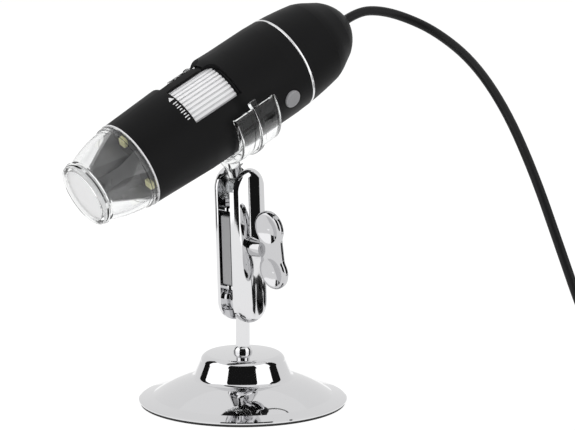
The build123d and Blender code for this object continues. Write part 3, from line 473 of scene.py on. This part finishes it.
def cord_curve(name, points, material):
    """A round cord along a smooth spline whose control points are given in millimetres."""
    data = bpy.data.curves.new(name, "CURVE")
    data.dimensions = "3D"
    data.bevel_depth = CORD_R * MM
    data.bevel_resolution = 6
    data.use_fill_caps = True
    data.resolution_u = 6
    spline = data.splines.new("NURBS")
    spline.points.add(len(points) - 1)
    for point, place in zip(spline.points, points):
        point.co = (*(Vector(place) * MM), 1)
    spline.order_u = 3
    spline.use_endpoint_u = True
    data.materials.append(material)
    cord = bpy.data.objects.new(name, data)
    bpy.context.scene.collection.objects.link(cord)
    return cord


def make_cords(kinds):
    """The lead from the microscope to the dimmer, and the rest of the cord from there to its plug."""
    start = nose_at / MM + to_rear * BARREL_L
    leaves = start + to_rear * CORD_STRAIGHT
    lead_route = [tuple(start), tuple(leaves), *LEAD_ROUTE, DIMMER_AT]
    lead = cord_curve("lead_cord", lead_route, kinds["cord_black"])
    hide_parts("cord_lead")
    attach(lead, "scope")
    yaw = math.radians(DIMMER_YAW)
    far = Vector(DIMMER_AT) + Vector((math.cos(yaw), math.sin(yaw), 0)) * DIMMER_L
    rest_route = [tuple(far), *TAIL_ROUTE, *coil_points(), *END_ROUTE, PLUG_AT]
    rest = cord_curve("plug_cord", rest_route, kinds["cord_black"])
    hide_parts("cord_tail", "cord_coil", "cord_end")
    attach(rest, "scope")


# Studio: a white floor and surround, soft lamps, and dark sides that only gloss and clear parts see

FLOOR_REACH = 0.27
WIDE_FLOOR = 6.0
WIDE_FLOOR_DROP = 0.0005
FLOOR_FAINT = (0.22, 0.22, 0.22, 1)
FLOOR_MATT = (0.75, 0.75, 0.75, 1)
WHITE = (1, 1, 1, 1)
SEEN_LEVEL = 0.90
LIT_LEVEL = 0.50
# Dark and bright sectors round the stand: from and to, in degrees from the camera's side, and a level
SECTORS = [
    (-121, -100, 0.01),
    (-100, -40, 1.55),
    (-40, 38, 0.01),
    (38, 80, 1.55),
    (80, 104, 0.01),
]
SECTOR_TOP = 0.72
OPEN_LEVEL = 0.88
THROUGH_SHARE = 0.35
OVERHEAD_LEVEL = 0.92


def seen_directly(tree):
    """Two factors: 1 for the camera's rays, gloss and clear parts, and 1 for the camera's rays alone."""
    path = tree.nodes.new("ShaderNodeLightPath")
    total = path.outputs["Is Camera Ray"]
    for kind in ("Is Glossy Ray", "Is Transmission Ray"):
        larger = tree.nodes.new("ShaderNodeMath")
        larger.operation = "MAXIMUM"
        tree.links.new(total, larger.inputs[0])
        tree.links.new(path.outputs[kind], larger.inputs[1])
        total = larger.outputs[0]
    return total, path.outputs["Is Camera Ray"]


def floor_finish():
    """A floor that looks plain white with a faint shadow, and is pale matt to the light that it bounces."""
    material = bpy.data.materials.new("floor_white")
    material.use_nodes = True
    tree = material.node_tree
    tree.nodes.remove(tree.nodes["Principled BSDF"])
    glow = add_node(material, "ShaderNodeEmission", Color=WHITE, Strength=SEEN_LEVEL)
    faint = add_node(material, "ShaderNodeBsdfDiffuse", Color=FLOOR_FAINT)
    matt = add_node(material, "ShaderNodeBsdfDiffuse", Color=FLOOR_MATT)
    both = add_node(material, "ShaderNodeAddShader")
    link(material, glow.outputs[0], both.inputs[0])
    link(material, faint.outputs[0], both.inputs[1])
    mix = add_node(material, "ShaderNodeMixShader")
    link(material, seen_directly(tree)[0], mix.inputs["Fac"])
    link(material, matt.outputs[0], mix.inputs[1])
    link(material, both.outputs[0], mix.inputs[2])
    link(material, mix.outputs[0], tree.nodes["Material Output"].inputs["Surface"])
    return material


def make_stage():
    """The floor: a round near part, and a wide part round it that gloss doesn't see."""
    finish = floor_finish()
    bpy.ops.mesh.primitive_circle_add(vertices=96, radius=FLOOR_REACH, fill_type="NGON", location=(0, 0, 0))
    near = bpy.context.object
    near.name = "floor_near"
    bpy.ops.mesh.primitive_plane_add(size=WIDE_FLOOR, location=(0, 0, -WIDE_FLOOR_DROP))
    wide = bpy.context.object
    wide.name = "floor_wide"
    wide.visible_glossy = False
    wide.visible_transmission = False
    for floor in (near, wide):
        floor.data.materials.append(finish)


def world_math(tree, operation, *values):
    """One math node of the world, whose inputs are numbers or sockets."""
    node = tree.nodes.new("ShaderNodeMath")
    node.operation = operation
    for n, value in enumerate(values):
        if isinstance(value, (int, float)):
            node.inputs[n].default_value = value
        else:
            tree.links.new(value, node.inputs[n])
    return node.outputs[0]


def studio_level(tree):
    """The studio's brightness by direction: sectors round the stand, an open back and a plain overhead."""
    direction = tree.nodes.new("ShaderNodeTexCoord").outputs["Generated"]
    turned = tree.nodes.new("ShaderNodeVectorRotate")
    turned.rotation_type = "Z_AXIS"
    turned.inputs["Angle"].default_value = -math.atan2(CAMERA_BACK.y, CAMERA_BACK.x)
    tree.links.new(direction, turned.inputs["Vector"])
    parts = tree.nodes.new("ShaderNodeSeparateXYZ")
    tree.links.new(turned.outputs["Vector"], parts.inputs[0])
    azimuth = world_math(tree, "ARCTAN2", parts.outputs["Y"], parts.outputs["X"])
    degrees = world_math(tree, "MULTIPLY", azimuth, 180 / math.pi)
    level = OPEN_LEVEL
    for start, end, value in SECTORS:
        inside = world_math(
            tree,
            "MULTIPLY",
            world_math(tree, "GREATER_THAN", degrees, start),
            world_math(tree, "LESS_THAN", degrees, end),
        )
        change = world_math(tree, "MULTIPLY", inside, value - OPEN_LEVEL)
        level = world_math(tree, "ADD", change, level)
    above = world_math(tree, "GREATER_THAN", parts.outputs["Z"], SECTOR_TOP)
    below = world_math(tree, "SUBTRACT", 1.0, above)
    low = world_math(tree, "MULTIPLY", level, below)
    return world_math(tree, "MULTIPLY_ADD", above, OVERHEAD_LEVEL, low)


def make_world():
    """White to the camera, sectors to gloss, milder ones to clear parts, and a plain level of light."""
    world = bpy.data.worlds.new("studio")
    bpy.context.scene.world = world
    world.use_nodes = True
    tree = world.node_tree
    seen = tree.nodes["Background"]
    seen.inputs["Color"].default_value = WHITE
    direct, camera_ray = seen_directly(tree)
    level = studio_level(tree)
    through = tree.nodes.new("ShaderNodeLightPath").outputs["Is Transmission Ray"]
    lack = world_math(tree, "SUBTRACT", 1.0, level)
    eased = world_math(tree, "MULTIPLY", lack, world_math(tree, "MULTIPLY", through, 1 - THROUGH_SHARE))
    studio = world_math(tree, "MAXIMUM", world_math(tree, "ADD", level, eased), camera_ray)
    tree.links.new(studio, seen.inputs["Strength"])
    lit = tree.nodes.new("ShaderNodeBackground")
    lit.inputs["Color"].default_value = WHITE
    lit.inputs["Strength"].default_value = LIT_LEVEL
    mix = tree.nodes.new("ShaderNodeMixShader")
    tree.links.new(direct, mix.inputs["Fac"])
    tree.links.new(lit.outputs[0], mix.inputs[1])
    tree.links.new(seen.outputs[0], mix.inputs[2])
    tree.links.new(mix.outputs[0], tree.nodes["World Output"].inputs["Surface"])


def area_lamp(name, place, aim, size, power):
    """A square soft lamp that points from a place at an aim, and that gloss and clear parts don't see."""
    data = bpy.data.lights.new(name, "AREA")
    data.shape = "SQUARE"
    data.size = size
    data.energy = power
    lamp = bpy.data.objects.new(name, data)
    bpy.context.scene.collection.objects.link(lamp)
    lamp.location = place
    lamp.rotation_euler = (Vector(aim) - Vector(place)).to_track_quat("-Z", "Y").to_euler()
    lamp.visible_glossy = False
    lamp.visible_transmission = False
    return lamp


def make_lights():
    """A key from the camera's upper left, a fill from the right and a top lamp."""
    area_lamp("key", (-0.9, -0.5, 0.9), (0, 0, 0.08), 0.6, 3.7)
    area_lamp("fill", (0.5, -0.9, 0.5), (0, 0, 0.08), 0.8, 2.4)
    area_lamp("top", (0.1, 0.2, 1.1), (0, 0, 0.05), 0.8, 2.9)


bpy.context.scene.view_settings.view_transform = "Standard"
make_camera()
finishes = make_materials()
dress_nodes(finishes)
make_cords(finishes)
make_marks(finishes)
make_stage()
make_world()
make_lights()
